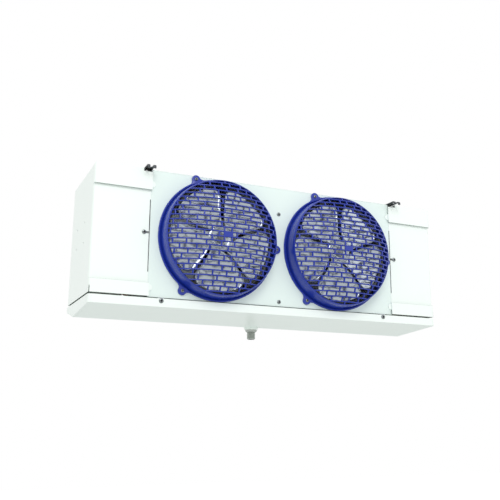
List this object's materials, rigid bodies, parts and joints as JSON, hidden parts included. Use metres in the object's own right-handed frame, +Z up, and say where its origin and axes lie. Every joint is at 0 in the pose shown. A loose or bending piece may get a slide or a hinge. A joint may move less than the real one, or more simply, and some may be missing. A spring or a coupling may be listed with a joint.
{
  "type": "walk-in unit cooler",
  "caption": "Low-profile walk-in unit cooler: guarded fans in a white sheet-metal cabinet with pull-off end covers, a hinged drain pan and ceiling hangers.",
  "frame": {"origin": "centre of the four ceiling rod holes, on the top face of the hanger plates", "axes": "+Z up, +X to the right of someone facing the fans, +Y from the fans to the coil"},
  "size_m": [1.13, 0.3807, 0.448],
  "materials": {
    "cabinet_paint": "gloss",
    "guard_plastic": "satin",
    "blade_aluminium": "satin",
    "ring_plastic": "satin",
    "zinc_steel": "satin",
    "hanger_steel": "satin",
    "fin_aluminium": "satin",
    "copper": "satin",
    "brass": "satin",
    "motor_steel": "satin",
    "screw_steel": "satin",
    "terminal_plastic": "matte",
    "drain_plastic": "satin",
    "drain_metal": "satin"
  },
  "bodies": {
    "cabinet": {"center_baffle": "zinc_steel", "coil_fins": "fin_aluminium", "cover_screws": "screw_steel", "distributor": "brass", "end_plate_left": "zinc_steel", "end_plate_right": "zinc_steel", "fan_guard_left": "guard_plastic", "fan_guard_right": "guard_plastic", "fan_motor_left": "motor_steel", "fan_motor_right": "motor_steel", "fan_panel": "cabinet_paint", "feeder_tubes": "copper", "guard_screws": "screw_steel", "hanger_bolts": "screw_steel", "hanger_left": "hanger_steel", "hanger_right": "hanger_steel", "hinge_pins": "screw_steel", "motor_bracket_left": "zinc_steel", "motor_bracket_right": "zinc_steel", "orifice_ring_left": "ring_plastic", "orifice_ring_right": "ring_plastic", "pan_tabs": "zinc_steel", "panel_screws": "screw_steel", "rear_rail": "zinc_steel", "return_bends": "copper", "suction_header": "copper", "suction_stub": "copper", "terminal_block": "terminal_plastic", "top_panel": "cabinet_paint"},
    "fan_left": {"fan_left": "blade_aluminium"},
    "fan_right": {"fan_right": "blade_aluminium"},
    "end_cover_left": {"end_cover_left": "cabinet_paint"},
    "end_cover_right": {"end_cover_right": "cabinet_paint"},
    "drain_pan": {"drain_pan": "cabinet_paint", "drain_fitting": "drain_metal", "drain_locknut": "drain_plastic", "pan_screws": "screw_steel"}
  },
  "joints": [
    {"name": "fan_left_spin", "type": "hinge", "parent": "cabinet", "child": "fan_left", "pos_m": [-0.1977, -0.1465, -0.1887], "axis": [0, -1, 0], "continuous": true},
    {"name": "fan_right_spin", "type": "hinge", "parent": "cabinet", "child": "fan_right", "pos_m": [0.1977, -0.1465, -0.1887], "axis": [0, -1, 0], "continuous": true},
    {"name": "drain_pan_hinge", "type": "hinge", "parent": "cabinet", "child": "drain_pan", "pos_m": [0, 0.1515, -0.369], "axis": [1, 0, 0], "range_deg": [0, 90]},
    {"name": "end_cover_left_pull", "type": "slide", "parent": "cabinet", "child": "end_cover_left", "axis": [-1, 0, 0], "range_m": [0, 0.18]},
    {"name": "end_cover_right_pull", "type": "slide", "parent": "cabinet", "child": "end_cover_right", "axis": [1, 0, 0], "range_m": [0, 0.18]}
  ]
}
